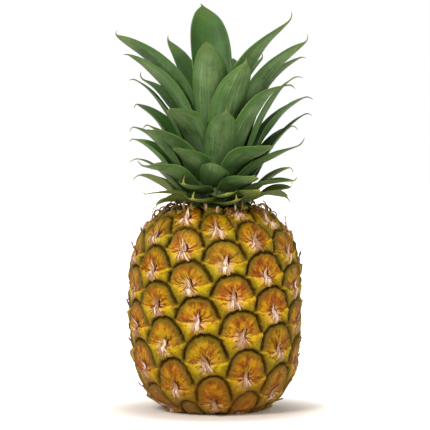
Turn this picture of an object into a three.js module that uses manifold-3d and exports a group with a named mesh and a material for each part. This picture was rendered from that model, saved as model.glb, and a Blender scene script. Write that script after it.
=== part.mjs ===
// A whole pineapple: the fruit with its spiral of eyes, the cut stalk underneath,
// and the crown of leaves on its short stem. Millimetres, +Z up, origin on the base.
import * as THREE from 'three';
import { mergeVertices } from 'three/addons/utils/BufferGeometryUtils.js';
import Module from 'manifold-3d';

const wasm = await Module();
wasm.setup();

// ---- Fruit ----
const FRUIT_RADIUS = 62.5; // widest ring, over the crests of the eyes
const WAIST_HEIGHT = 76; // height of the widest ring
const UPPER_HALF = 74; // waist to the top pole
const LOWER_HALF = 80; // waist to the bottom pole, before the base is cut flat
const UPPER_SQUARENESS = 3.1; // superellipse exponents of the barrel shape
const LOWER_SQUARENESS = 3.0;
const SHOULDER_FLAT_HEIGHT = 148.8; // small flat that carries the crown stem
const PROFILE_STEPS = 180;
const FIRST_EYE = -47; // deep in the base
const LAST_EYE = 43; // under the crown stem

// Relief of one eye, measured inwards from the barrel shape
const CREASE_DEPTH = 3.2;
const SLOPE_DEPTH = 0.5;
const SLOPE_REACH = 0.62; // ring between crest and crease, as a share of the way out

// ---- Spiral order, shared by the eyes and the leaves ----
const DIVERGENCE = 138.04; // degrees from one eye or leaf to the next
const EYE_RISE = [11.1, 1.98, -0.0052, 0.000174]; // cubic in the eye's number, mm
const EYE_ZERO_AZIMUTH = 12.2; // 0 faces -Y, positive towards +X
const LEAF_ZERO_AZIMUTH = -124.1;
const SIDE_CORNER_AZIMUTH = 14.3; // side corners of an eye, from its centre
const SIDE_CORNER_STEP = 0.65; // the same corners, along the spiral, in eyes
const ARCH_RISE = 1.3; // how far the top edge of an eye bows up, in eyes
const SIDE_BOW = 1.2; // how far its upper side edges bow out, in degrees

// ---- Stalk and crown stem ----
const GAP = 0.3; // clearance between pieces that touch
const STALK_RADIUS = 13;
const STALK_DEPTH = 7;
const STEM_RADIUS = 20;
const STEM_HEIGHT = 36;
const STEM_RINGS = 7;
const ROUND_SIDES = 24;

// ---- Crown leaves ----
const LEAF_FOOT_THICKNESS = 0.7;
const LEAF_THICKNESS = 1.2; // from a third of the way up, thinning towards the tip
const TIP_THINNING = 0.5; // share of the thickness that is lost by the tip
const FOOT_WIDTH_SHARE = 0.78; // width where the leaf clasps the stem
const WIDEST_STATION = 0.4;
const TAPER_START = 4; // a higher power keeps the leaf broad for longer
const TAPER_BLUNTNESS = 0.8; // 1 gives a straight point, lower a rounder one
const FACE_EDGE = 0.55; // where the full thickness ends, from midrib to margin
const FOOT_CHANNEL_RADIUS = 30; // curve of a leaf across its width, clear of the stem
const CHANNEL_RADIUS = 15; // the same from the middle of the leaf outwards
const CHANNEL_STATION = 0.5; // where the leaf has closed to that
const STEEPEST_CHANNEL = 0.2; // keeps the channel from opening flat on level leaves
const WRAP_LIMIT = 1.1; // a leaf wraps round its channel by at most this, in radians
const LOWEST_FOOT_LEAN = 76; // lean of a midrib where it leaves the stem, from upright
const HIGHEST_FOOT_LEAN = 10;
const MIDRIB_HANDLE = 0.36; // how firmly the midrib keeps both leans, as a share of its chord
const LOWEST_FOOT = 0.012; // leaf feet along the stem outline, foot to apex
const HIGHEST_FOOT = 0.93;
const FOOT_CROWDING = 1.5; // above 1 sets the lowest leaves closer together
const STATIONS = [0, 0.1, 0.24, 0.4, 0.56, 0.72, 0.86, 0.95]; // rings, foot to tip

// One row for each leaf, lowest first: reach of the tip from the axis, height of the
// tip, half width, lean of the midrib at the tip (90 is level, more droops), and how
// far the leaf stands round from its place in the spiral.
const LEAVES = [
  [51, 155.5, 12, 60, 3.5],
  [54, 153, 11.1, 104, 0],
  [46, 149, 13.1, 125, 0],
  [58.5, 163, 12, 86, 2],
  [58, 157, 14.5, 103, 0],
  [50, 156.5, 12.7, 62, -3.5],
  [63, 153, 11.1, 110, 0],
  [59, 170, 14.5, 90, 0],
  [55, 163, 8.8, 58, -3],
  [60, 168, 15, 95, 0],
  [68, 159, 7.9, 94, -2],
  [56.5, 176.5, 10.7, 79, 3],
  [60, 178, 14.7, 87, 0],
  [54, 160.5, 12, 50, 1],
  [62, 180, 15, 88, 0],
  [60, 184, 9, 82, -1],
  [65.5, 168, 11.1, 88, -2],
  [60, 184, 14.7, 86, 0],
  [53, 168, 13, 44, -4.5],
  [65, 207, 13, 70, 0],
  [64, 197, 15.5, 78, 0],
  [56, 173, 13.5, 42, -4],
  [62, 194, 15.5, 82, 0],
  [67, 179.5, 13.2, 78, 0],
  [68, 216, 8, 69, 7],
  [61, 207, 14.3, 73, 12],
  [54, 182, 12, 42, -4.5],
  [64, 207, 15.2, 76, 0],
  [61, 206.5, 11.9, 74, -2],
  [72.5, 195, 10.7, 62, 1],
  [62, 214, 15.5, 72, 0],
  [60, 193, 15, 58, -0.5],
  [73, 228, 15.5, 70, 0],
  [64, 223, 14.4, 69, -3],
  [68, 194.5, 14, 62, 8],
  [60, 227, 15.5, 66, 0],
  [61, 205, 14, 74, 2],
  [59, 243, 10.9, 58, 3],
  [58, 234, 15.2, 63, 0],
  [50, 218, 14, 46, 11],
  [58, 242, 15.5, 59, 0],
  [60, 241, 10.7, 60, -6],
  [70, 236, 13.9, 92, 0],
  [55, 250, 12.5, 56, -3],
  [61, 220, 15.5, 72, 0],
  [63.5, 257, 14, 60, -5],
  [60, 241, 12.5, 65, 3],
  [53, 252.5, 16, 50, 3],
  [56, 256, 15.5, 56, 6],
  [64.5, 259.5, 12, 60, -18],
  [68, 268, 11, 61, 2],
  [58, 270, 11.8, 53, 4],
  [53, 267.5, 15, 46, 1],
  [46, 257, 15.5, 53, 0],
  [72.5, 273, 11.3, 63, 4],
  [70.5, 283, 16.7, 58, 4],
  [42, 295.5, 22.5, 36, 8.5],
];

const deg = THREE.MathUtils.degToRad;

function paint(color, roughness) {
  return new THREE.MeshStandardMaterial({ color, roughness, metalness: 0 });
}

const rind = paint(0xb08a35, 0.55);
const cutFibre = paint(0xc9b184, 0.8);
const stemGreen = paint(0x9aa66a, 0.7);
const leafGreen = paint(0x5c7d4c, 0.5);

// ---- Solids ----

const WELD = 1e-3; // vertices closer than this are one

function toSolid(geometry) {
  const bare = geometry.clone();
  bare.deleteAttribute('normal');
  bare.deleteAttribute('uv');
  const merged = mergeVertices(bare, WELD);
  return new wasm.Manifold(new wasm.Mesh({
    numProp: 3,
    vertProperties: new Float32Array(merged.attributes.position.array),
    triVerts: new Uint32Array(merged.index.array),
  }));
}

function toGeometry(solid) {
  const mesh = solid.getMesh();
  const geometry = new THREE.BufferGeometry();
  geometry.setAttribute('position', new THREE.BufferAttribute(mesh.vertProperties, 3));
  geometry.setIndex(new THREE.BufferAttribute(mesh.triVerts, 1));
  geometry.computeVertexNormals();
  return geometry;
}

function geometryFrom(points, triangles) {
  const geometry = new THREE.BufferGeometry();
  geometry.setFromPoints(points);
  geometry.setIndex(triangles);
  geometry.computeVertexNormals();
  return geometry;
}

function piece(name, geometry, material) {
  const mesh = new THREE.Mesh(geometry, material);
  mesh.name = name;
  return mesh;
}

// Straight-up cylinder between two heights
function upright(radius, bottom, top) {
  const geometry = new THREE.CylinderGeometry(radius, radius, top - bottom, ROUND_SIDES);
  geometry.rotateX(Math.PI / 2);
  geometry.translate(0, 0, (top + bottom) / 2);
  return geometry;
}

// ---- Fruit ----

// Barrel outline from the bottom pole to the top pole, as (radius, height)
function barrelOutline() {
  const points = [];
  for (let step = 0; step <= PROFILE_STEPS; step += 1) {
    const angle = Math.PI * (step / PROFILE_STEPS - 0.5);
    const upper = angle > 0;
    const power = 2 / (upper ? UPPER_SQUARENESS : LOWER_SQUARENESS);
    const half = upper ? UPPER_HALF : LOWER_HALF;
    const radius = FRUIT_RADIUS * Math.max(Math.cos(angle), 0) ** power;
    const rise = half * Math.abs(Math.sin(angle)) ** power;
    points.push(new THREE.Vector2(radius, WAIST_HEIGHT + Math.sign(angle) * rise));
  }
  return points;
}

const outline = new THREE.SplineCurve(barrelOutline());
outline.arcLengthDivisions = 1000;
const outlineLength = outline.getLength();
const lowerOutline = new THREE.SplineCurve(barrelOutline().slice(0, PROFILE_STEPS / 2 + 1));
const waistLength = lowerOutline.getLength();

// Distance up the outline from the waist, for any place k along the spiral of eyes:
// about 2 mm an eye at the waist, and more towards the base and the shoulder
function eyeRise(k) {
  return EYE_RISE[0] + EYE_RISE[1] * k + EYE_RISE[2] * k ** 2 + EYE_RISE[3] * k ** 3;
}

// Point on the fruit at place k along the spiral, turned by some degrees from the
// spiral's own azimuth there and sunk below the barrel shape
function rindPoint(k, azimuth, sink) {
  const share = THREE.MathUtils.clamp((waistLength + eyeRise(k)) / outlineLength, 0, 1);
  const place = outline.getPointAt(share);
  const slope = outline.getTangentAt(share);
  const radius = place.x - sink * slope.y;
  const height = place.y + sink * slope.x;
  const turn = deg(azimuth);
  return new THREE.Vector3(radius * Math.sin(turn), -radius * Math.cos(turn), height);
}

function eyeAzimuth(k) {
  return EYE_ZERO_AZIMUTH + DIVERGENCE * k;
}

// The two corners beside eye k: side is 1 for the one on its right, -1 for its left
function corner(k, side) {
  return {
    step: k + side * SIDE_CORNER_STEP,
    azimuth: eyeAzimuth(k) + side * SIDE_CORNER_AZIMUTH,
  };
}

function nearestTurn(azimuth, reference) {
  return azimuth + 360 * Math.round((reference - azimuth) / 360);
}

// Crease between two corners, bowed at its middle
function creaseMiddle(from, to, rise, bow) {
  const near = nearestTurn(to.azimuth, from.azimuth);
  return { step: (from.step + to.step) / 2 + rise, azimuth: (from.azimuth + near) / 2 + bow };
}

// Outline of eye k, anticlockwise from its right corner, each crease with its middle.
// An eye's arch is its three upper creases, and its lower creases are the arches of
// the eyes below it, so every crease is worked out once, from the eye it tops.
function eyeOutline(k) {
  const right = corner(k, 1);
  const topRight = corner(k + 8, -1);
  const topLeft = corner(k + 5, 1);
  const left = corner(k, -1);
  const bottomLeft = corner(k - 8, 1);
  const bottomRight = corner(k - 5, -1);
  return [
    right,
    creaseMiddle(right, topRight, 0, SIDE_BOW),
    topRight,
    creaseMiddle(topLeft, topRight, ARCH_RISE, 0),
    topLeft,
    creaseMiddle(topLeft, left, 0, -SIDE_BOW),
    left,
    creaseMiddle(bottomLeft, left, 0, SIDE_BOW),
    bottomLeft,
    creaseMiddle(bottomLeft, bottomRight, ARCH_RISE, 0),
    bottomRight,
    creaseMiddle(right, bottomRight, 0, -SIDE_BOW),
  ];
}

function eyeTriangles(k, soup) {
  const centreAzimuth = eyeAzimuth(k);
  const crest = rindPoint(k, centreAzimuth, 0);
  const rim = [];
  const slope = [];
  for (const place of eyeOutline(k)) {
    const azimuth = nearestTurn(place.azimuth, centreAzimuth);
    rim.push(rindPoint(place.step, azimuth, CREASE_DEPTH));
    slope.push(rindPoint(
      THREE.MathUtils.lerp(k, place.step, SLOPE_REACH),
      THREE.MathUtils.lerp(centreAzimuth, azimuth, SLOPE_REACH),
      SLOPE_DEPTH,
    ));
  }
  rim.forEach((outer, index) => {
    const next = (index + 1) % rim.length;
    soup.push(crest, slope[index], slope[next]);
    soup.push(slope[index], outer, rim[next]);
    soup.push(slope[index], rim[next], slope[next]);
  });
}

// Edges that only one triangle uses are the open rings at the two ends. Each ring is
// closed by a fan to a point on the axis.
function closeEnds(geometry) {
  const position = geometry.attributes.position;
  const index = Array.from(geometry.index.array);
  const edges = new Map();
  for (let face = 0; face < index.length; face += 3) {
    for (let side = 0; side < 3; side += 1) {
      const from = index[face + side];
      const to = index[face + (side + 1) % 3];
      if (!edges.delete(`${to},${from}`)) {
        edges.set(`${from},${to}`, [from, to]);
      }
    }
  }
  const points = [];
  for (let vertex = 0; vertex < position.count; vertex += 1) {
    points.push(new THREE.Vector3().fromBufferAttribute(position, vertex));
  }
  const bottomPole = points.push(new THREE.Vector3(0, 0, WAIST_HEIGHT - LOWER_HALF)) - 1;
  const topPole = points.push(new THREE.Vector3(0, 0, WAIST_HEIGHT + UPPER_HALF)) - 1;
  for (const [from, to] of edges.values()) {
    index.push(to, from, points[from].z > WAIST_HEIGHT ? topPole : bottomPole);
  }
  return geometryFrom(points, index);
}

function makeFruit() {
  const soup = [];
  for (let k = FIRST_EYE; k <= LAST_EYE; k += 1) {
    eyeTriangles(k, soup);
  }
  const open = new THREE.BufferGeometry().setFromPoints(soup);
  const whole = toSolid(closeEnds(mergeVertices(open, WELD)));
  const width = 4 * FRUIT_RADIUS; // of the two blocks that cut the ends flat
  const below = new THREE.BoxGeometry(width, width, width).translate(0, 0, -width / 2);
  const above = new THREE.BoxGeometry(width, width, width)
    .translate(0, 0, SHOULDER_FLAT_HEIGHT + width / 2);
  const pocket = upright(STALK_RADIUS + GAP, -1, STALK_DEPTH + GAP);
  const cut = whole.subtract(toSolid(below)).subtract(toSolid(above)).subtract(toSolid(pocket));
  return piece('fruit', toGeometry(cut), rind);
}

// ---- Stalk and crown stem ----

function makeStalk() {
  return piece('cut_stalk', upright(STALK_RADIUS, 0, STALK_DEPTH), cutFibre);
}

const stemFoot = SHOULDER_FLAT_HEIGHT + GAP;
const stemOutline = new THREE.EllipseCurve(0, stemFoot, STEM_RADIUS, STEM_HEIGHT, 0, Math.PI / 2);

function makeCrownStem() {
  const profile = [new THREE.Vector2(0, stemFoot), ...stemOutline.getSpacedPoints(STEM_RINGS)];
  profile[profile.length - 1].x = 0;
  const geometry = new THREE.LatheGeometry(profile, ROUND_SIDES);
  geometry.rotateX(Math.PI / 2);
  return piece('crown_stem', toGeometry(toSolid(geometry)), stemGreen);
}

// ---- Leaves ----

function leanVector(angle) {
  return new THREE.Vector2(Math.sin(deg(angle)), Math.cos(deg(angle)));
}

// Midrib in the upright plane of the leaf, as (reach, height)
function midrib(foot, tip, footLean, tipLean) {
  const handle = foot.distanceTo(tip) * MIDRIB_HANDLE;
  const rise = foot.clone().addScaledVector(leanVector(footLean), handle);
  const droop = tip.clone().addScaledVector(leanVector(tipLean), -handle);
  return new THREE.CubicBezierCurve(foot, rise, droop, tip);
}

// Sword-shaped: a little narrower where it clasps the stem, then broad, then tapering
function widthShare(along) {
  const opened = THREE.MathUtils.smoothstep(along, 0, WIDEST_STATION);
  const swell = THREE.MathUtils.lerp(FOOT_WIDTH_SHARE, 1, opened);
  return swell * (1 - along ** TAPER_START) ** TAPER_BLUNTNESS;
}

// Eight points round the leaf, as (across, side): two thin margins, three on the outer
// face (side -1) and three on the inner face (side 1)
const LEAF_SECTION = [
  [-1, 0],
  [-FACE_EDGE, -1],
  [0, -1],
  [FACE_EDGE, -1],
  [1, 0],
  [FACE_EDGE, 1],
  [0, 1],
  [-FACE_EDGE, 1],
];
const FOOT_CAP = [0, 7, 1, 7, 6, 1, 6, 2, 1, 6, 5, 2, 5, 3, 2, 5, 4, 3];

// The section lies on arcs that are concentric with the stem at the foot of the leaf
function leafRing(rib, along, halfWidth) {
  const place = rib.getPoint(along);
  const tangent = rib.getTangent(along);
  const inward = new THREE.Vector2(-tangent.y, tangent.x);
  const steepness = Math.max(tangent.y, STEEPEST_CHANNEL);
  const footChannel = Math.min(place.x / steepness, FOOT_CHANNEL_RADIUS);
  const closed = THREE.MathUtils.smoothstep(along, 0, CHANNEL_STATION);
  const channel = THREE.MathUtils.lerp(footChannel, CHANNEL_RADIUS, closed);
  const opened = THREE.MathUtils.smoothstep(along, 0, WIDEST_STATION);
  const fullThickness = THREE.MathUtils.lerp(LEAF_FOOT_THICKNESS, LEAF_THICKNESS, opened);
  const thickness = fullThickness * (1 - TIP_THINNING * along);
  const sweep = Math.min(halfWidth * widthShare(along) / channel, WRAP_LIMIT);
  return LEAF_SECTION.map(([across, side]) => {
    const radius = channel - side * thickness / 2;
    const angle = sweep * across;
    const offset = channel - radius * Math.cos(angle);
    const reach = place.x + inward.x * offset;
    return new THREE.Vector3(radius * Math.sin(angle), -reach, place.y + inward.y * offset);
  });
}

function makeLeaf(number, row) {
  const [tipReach, tipHeight, halfWidth, tipLean, shift] = row;
  const order = (number - 1) / (LEAVES.length - 1);
  const share = THREE.MathUtils.lerp(LOWEST_FOOT, HIGHEST_FOOT, order ** FOOT_CROWDING);
  const footLean = THREE.MathUtils.lerp(LOWEST_FOOT_LEAN, HIGHEST_FOOT_LEAN, order);
  const along = stemOutline.getTangentAt(share);
  const outward = new THREE.Vector2(along.y, -along.x);
  const clearance = GAP + LEAF_FOOT_THICKNESS / 2;
  const foot = stemOutline.getPointAt(share).addScaledVector(outward, clearance);
  const tip = new THREE.Vector2(tipReach, tipHeight);
  const rib = midrib(foot, tip, footLean, tipLean);

  const points = STATIONS.flatMap((station) => leafRing(rib, station, halfWidth));
  const tipIndex = points.push(new THREE.Vector3(0, -tip.x, tip.y)) - 1;
  // The two faces are cut along matching diagonals, so they stay apart where they twist
  const triangles = [];
  const around = LEAF_SECTION.length;
  for (let ring = 0; ring < STATIONS.length; ring += 1) {
    for (let side = 0; side < around; side += 1) {
      const a = ring * around + side;
      const b = ring * around + (side + 1) % around;
      if (ring === STATIONS.length - 1) {
        triangles.push(a, b, tipIndex);
      } else if (side < around / 2) {
        triangles.push(a, b, b + around, a, b + around, a + around);
      } else {
        triangles.push(a, b, a + around, b, b + around, a + around);
      }
    }
  }
  triangles.push(...FOOT_CAP);

  const geometry = geometryFrom(points, triangles);
  geometry.rotateZ(deg(LEAF_ZERO_AZIMUTH + DIVERGENCE * number + shift));
  return piece(`leaf_${String(number).padStart(2, '0')}`, geometry, leafGreen);
}

const pineapple = new THREE.Group();
pineapple.add(makeFruit(), makeStalk(), makeCrownStem());
LEAVES.forEach((row, index) => {
  pineapple.add(makeLeaf(index + 1, row));
});

export default pineapple;
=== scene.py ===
import contextlib
import math
import random

import bpy
import numpy as np
from mathutils import Matrix, Vector, noise


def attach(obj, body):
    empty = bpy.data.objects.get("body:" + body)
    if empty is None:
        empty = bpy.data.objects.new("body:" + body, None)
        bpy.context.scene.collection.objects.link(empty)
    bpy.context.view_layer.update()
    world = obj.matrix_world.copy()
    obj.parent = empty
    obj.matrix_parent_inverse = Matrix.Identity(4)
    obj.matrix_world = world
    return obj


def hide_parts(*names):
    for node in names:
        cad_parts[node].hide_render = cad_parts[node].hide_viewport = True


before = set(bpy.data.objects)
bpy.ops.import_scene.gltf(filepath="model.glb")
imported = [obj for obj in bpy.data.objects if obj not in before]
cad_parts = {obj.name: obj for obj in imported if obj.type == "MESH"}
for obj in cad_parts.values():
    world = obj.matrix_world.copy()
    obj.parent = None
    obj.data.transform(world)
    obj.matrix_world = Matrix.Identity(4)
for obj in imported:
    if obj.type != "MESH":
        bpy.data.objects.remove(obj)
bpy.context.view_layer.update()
random.seed(7)
scene = bpy.context.scene

# ---- Rind
# The skin is about a hundred fruitlets grown into one: each eye is a flat shield
# over a pointed bract, and a deep crease parts it from its neighbours. The eyes
# follow one spiral round a barrel, and the foot and the shoulder are flat.
MM = 0.001
FRUIT_RADIUS = 62.5
WAIST_HEIGHT = 76.0
UPPER_HALF = 74.0
LOWER_HALF = 80.0
UPPER_SQUARENESS = 3.1
LOWER_SQUARENESS = 3.0
SHOULDER_HEIGHT = 148.8
FIRST_EYE = -60
LAST_EYE = 52
DIVERGENCE = 138.04
EYE_RISE = (11.1, 1.98, -0.0052, 0.000174)
EYE_ZERO_AZIMUTH = 12.2
CREASE_DEPTH = 2.6
POLE_HOLE = 11.0  # within this of the axis the eyes are too crowded to use
CREASE_WIDTH = 1.6  # from the bottom of a crease to the top of its wall

# The arch over a shield, from its right end to its left, as degrees round from the
# eye's centre and steps of the spiral above it. The eyes eight and five places on
# stand on it at TOP_RIGHT and TOP_LEFT, and its two ends stand on earlier arches.
TOP_RIGHT = (9.0, 6.62)
TOP_LEFT = (-13.0, 4.24)
RIGHT = (5 * (144 - DIVERGENCE) + TOP_LEFT[0], TOP_LEFT[1] - 5)
LEFT = (8 * (135 - DIVERGENCE) + TOP_RIGHT[0], TOP_RIGHT[1] - 8)
ARCH = (
    (RIGHT, (14.6, 1.3), (12.2, 4.2), TOP_RIGHT),
    (TOP_RIGHT, (2.0, 8.25), (-4.8, 7.9), (-9.8, 6.3), TOP_LEFT),
    (TOP_LEFT, (-14.4, 1.6), LEFT),
)
DEGREE_MM = 1.05  # a degree round the waist, and a step up it
STEP_MM = 1.98
SCALLOP = 0.024  # in and out of the arch, as a share of its reach
SCALLOP_PACE = 2.7  # radians from one place on the arch to the next

EYE_SIDES = 60
EYE_RINGS = (1, 0.972, 0.942, 0.908, 0.868, 0.822, 0.77, 0.71)
EYE_RINGS += (0.645, 0.575, 0.5, 0.425, 0.345, 0.265, 0.18, 0.09)
RIDGE_SAG = 2.8  # the ridge between shield and bract hangs by this in its middle
RIDGE_HALF = 15.5
RIDGE_SLOPE = 0.02  # and rises to the right with the spiral
TIP_LEAN = 3.2  # farthest that the tip of a bract leans to one side

# Lifts and depths on an eye, and where they lie, in mm from its ridge and creases
DISH_DEPTH = 0.4
RIM_LIFT = 0.8
RIM_INWARD = 2.6
RIM_WIDTH = 1.4
PIT_DEPTH = 1.4
PIT_ABOVE = 3.2
PIT_WIDTH = 5.0
PIT_HEIGHT = 3.8
WRINKLE_LIFT = 0.17
WRINKLE_MIDDLE = 2.5  # the wrinkles of the shield run to here, above the ridge
BRACT_LIFT = 0.75
BRACT_FALL = 0.08
KEEL_LIFT = 0.6
KEEL_WIDTH = 2.6
HOLLOW_DEPTH = 0.45
HOLLOW_ASIDE = 5.5
HOLLOW_WIDTH = 2.0
FURROW_LIFT = 0.12
FADED_CREASE = 0.3  # a faded crease is still a valley of this share
RIPPLE = 0.45  # the walls of a crease wander by this share of their distance from it
RIPPLE_SPAN = 1.9
LEAST_RELIEF = 0.4  # share of the relief that is left on the small eyes at the poles
FADED_LINE = 3.5  # a faded crease is coloured as if it were this much farther off

# Nothing grown is quite even: everything on the fruit is shifted with its surroundings
BROAD_SPAN = 11.0
BROAD_SHIFT = 1.1
FINE_SPAN = 3.2
FINE_SHIFT = 0.25
MERGE_DISTANCE = 0.004  # between the same place on the outlines of two eyes


def smooth(low, high, value):
    """Eases from 0 at low to 1 at high."""
    share = np.clip((value - low) / (high - low), 0, 1)
    return share * share * (3 - 2 * share)


def barrel():
    """The barrel outline from pole to pole: radius, height, distance from the waist."""
    steps = 6001
    angle = np.linspace(-np.pi / 2, np.pi / 2, steps)
    upper = angle > 0
    power = np.where(upper, 2 / UPPER_SQUARENESS, 2 / LOWER_SQUARENESS)
    half = np.where(upper, UPPER_HALF, LOWER_HALF)
    radius = FRUIT_RADIUS * np.maximum(np.cos(angle), 0) ** power
    height = WAIST_HEIGHT + np.sign(angle) * half * np.abs(np.sin(angle)) ** power
    length = np.concatenate(([0], np.cumsum(np.hypot(np.diff(radius), np.diff(height)))))
    return radius, height, length - length[steps // 2]


BARREL_RADIUS, BARREL_HEIGHT, BARREL_LENGTH = barrel()


def eye_rise(step):
    """Distance up the outline from the waist to a place along the spiral."""
    return sum(c * step**i for i, c in enumerate(EYE_RISE))


def on_barrel(rise, azimuth, lift):
    """Points on the barrel at some distance up it from the waist, lifted off it."""
    reach = 1.0
    up_r = np.interp(rise + reach, BARREL_LENGTH, BARREL_RADIUS)
    down_r = np.interp(rise - reach, BARREL_LENGTH, BARREL_RADIUS)
    up_z = np.interp(rise + reach, BARREL_LENGTH, BARREL_HEIGHT)
    down_z = np.interp(rise - reach, BARREL_LENGTH, BARREL_HEIGHT)
    slope = np.maximum(np.hypot(up_r - down_r, up_z - down_z), 1e-6)
    radius = np.interp(rise, BARREL_LENGTH, BARREL_RADIUS) + lift * (up_z - down_z) / slope
    height = np.interp(rise, BARREL_LENGTH, BARREL_HEIGHT) - lift * (up_r - down_r) / slope
    turn = np.radians(azimuth)
    return np.stack((radius * np.sin(turn), -radius * np.cos(turn), height), axis=-1)


def wander(point):
    """A smooth random shift that is always the same at one place."""
    return Vector([noise.noise(point + Vector((apart, 0, 0))) for apart in (0, 31.7, 67.3)])


def grown(point):
    """A point of the fruit, shifted a little with its surroundings."""
    p = Vector(point)
    return p + wander(p / BROAD_SPAN) * BROAD_SHIFT + wander(p / FINE_SPAN) * FINE_SHIFT


def arch_places():
    """The arch as three creases, each eleven places evenly apart, smooth all the way."""
    points = [point for crease in ARCH for point in crease[:-1]] + [LEFT]
    first_off = (2 * points[0][0] - points[1][0], 2 * points[0][1] - points[1][1])
    last_off = (2 * points[-1][0] - points[-2][0], 2 * points[-1][1] - points[-2][1])
    line = np.array([first_off] + points + [last_off])
    share = np.linspace(0, 1, 24, endpoint=False)[:, None]
    creases = []
    first = 0
    for crease in ARCH:
        spans = []
        for span in range(first, first + len(crease) - 1):
            before, start, end, after = line[span : span + 4]
            spans.append(
                start
                + 0.5 * share * (end - before)
                + share**2 * (before - 2.5 * start + 2 * end - 0.5 * after)
                + share**3 * 0.5 * (3 * start - before - 3 * end + after)
            )
        first += len(crease) - 1
        curve = np.concatenate(spans + [np.array([crease[-1]])])
        gone = np.hypot(np.diff(curve[:, 0]) * DEGREE_MM, np.diff(curve[:, 1]) * STEP_MM)
        gone = np.concatenate(([0], np.cumsum(gone)))
        even = np.linspace(0, gone[-1], EYE_SIDES // 6 + 1)
        places = np.stack([np.interp(even, gone, curve[:, i]) for i in (1, 0)], axis=-1)
        inside = np.arange(1, len(places) - 1)[:, None]
        places[1:-1] *= 1 + SCALLOP * np.sin(inside * SCALLOP_PACE + first)
        creases.append(places)
    return creases


ARCH_PLACES = arch_places()

# How deep the crease is at each place of an arch. It fades out just before either end
# of the arch, where two bracts run into one another, and is deep again on the arch
# that the end stands on.
FADE_NEAR = 1.5
FADE_FAR = (1.7, 3.8)
SHALLOWEST = 0.08


def arch_depths():
    """Depth of the crease at the places of the three creases, as a share of the whole."""
    shares = []
    for part in (0, 2):
        way = np.diff(ARCH_PLACES[part], axis=0) * (STEP_MM, DEGREE_MM)
        gone = np.concatenate(([0], np.cumsum(np.hypot(way[:, 0], way[:, 1]))))
        from_end = gone if part == 0 else gone[-1] - gone
        faded = smooth(0, FADE_NEAR, from_end) * (1 - smooth(*FADE_FAR, from_end))
        shares.append(1 - (1 - SHALLOWEST) * faded)
    return shares[0], np.ones(len(ARCH_PLACES[1])), shares[1]


ARCH_DEPTHS = arch_depths()
OUTLINE_DEPTHS = np.concatenate(
    [depths[:-1] for depths in ARCH_DEPTHS] + [depths[:0:-1] for depths in ARCH_DEPTHS]
)


def crease_of(eye, part, centre):
    """One crease of an eye's arch as (step, azimuth), with azimuths close to centre."""
    azimuth = EYE_ZERO_AZIMUTH + DIVERGENCE * eye
    azimuth += 360 * round((centre - azimuth) / 360)
    return ARCH_PLACES[part] + np.array((eye, azimuth))


def eye_outline(eye):
    """Sixty places round an eye, anticlockwise from its right corner: its own arch,
    then the arches of the three eyes below that it stands on."""
    centre = EYE_ZERO_AZIMUTH + DIVERGENCE * eye
    own = [crease_of(eye, part, centre) for part in range(3)]
    below = ((eye - 8, 0), (eye - 13, 1), (eye - 5, 2))
    others = [crease_of(other, part, centre)[::-1] for other, part in below]
    return np.concatenate([crease[:-1] for crease in own + others])


def ridge(x):
    """Height of the ridge above the eye's centre line, at x mm to the right."""
    return RIDGE_SLOPE * x - RIDGE_SAG * np.maximum(1 - (x / RIDGE_HALF) ** 2, 0)


def crease_share(depth):
    """How deep a crease of some depth is cut, as a share of the deepest."""
    return FADED_CREASE + (1 - FADED_CREASE) * depth


def swelling(away, width):
    """A smooth swelling, 1 high in its middle and some mm wide."""
    return np.exp(-((away / width) ** 2))


def relief(x, above, edge, depth, bulge, phase):
    """Lift of an eye's skin over the barrel: x mm right, above mm over the ridge,
    edge mm from a crease of some depth. The shield is a rimmed dish with wrinkles that
    run to its middle, and the bract a swelling with a keel and hollows beside it."""
    turn = np.arctan2(above - WRINKLE_MIDDLE, x)
    shield = -DISH_DEPTH + RIM_LIFT * swelling(edge - RIM_INWARD, RIM_WIDTH)
    shield -= PIT_DEPTH * swelling(x, PIT_WIDTH) * swelling(above - PIT_ABOVE, PIT_HEIGHT)
    wrinkle = np.sin(turn * 13 + phase) + 0.6 * np.sin(turn * 23 + 2 * phase)
    shield += WRINKLE_LIFT * wrinkle * smooth(1.0, 4.0, np.hypot(x, above - WRINKLE_MIDDLE))
    bract = BRACT_LIFT - BRACT_FALL * np.maximum(-above, 0) + KEEL_LIFT * swelling(x, KEEL_WIDTH)
    bract -= HOLLOW_DEPTH * swelling(np.abs(x) - HOLLOW_ASIDE, HOLLOW_WIDTH)
    bract += FURROW_LIFT * np.sin(x * 1.9 + phase) * smooth(0, -3, above)
    over = smooth(-0.3, 0.3, above)
    lift = bract * (1 - over) + shield * over
    wall = smooth(0.0, CREASE_WIDTH, edge)
    return -CREASE_DEPTH * crease_share(depth) * (1 - wall) + wall * (lift + bulge)


def pick(made):
    """Selects one piece and nothing else."""
    bpy.ops.object.select_all(action="DESELECT")
    made.select_set(True)
    bpy.context.view_layer.objects.active = made


@contextlib.contextmanager
def editing():
    """Edit mode, with everything in the piece selected, for the length of a with block."""
    bpy.ops.object.mode_set(mode="EDIT")
    bpy.ops.mesh.select_all(action="SELECT")
    yield
    bpy.ops.object.mode_set(mode="OBJECT")


def choose(made, kind, wanted):
    """Selects the faces or edges of a piece that are wanted, and leaves edit mode on."""
    bpy.ops.object.mode_set(mode="EDIT")
    bpy.ops.mesh.select_mode(type=kind)
    bpy.ops.mesh.select_all(action="DESELECT")
    bpy.ops.object.mode_set(mode="OBJECT")
    for element in made.data.polygons if kind == "FACE" else made.data.edges:
        element.select = wanted(element)
    bpy.ops.object.mode_set(mode="EDIT")


def own_copy(made):
    """A copy of a piece with its own mesh."""
    copied = made.copy()
    copied.data = made.data.copy()
    scene.collection.objects.link(copied)
    return copied


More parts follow.
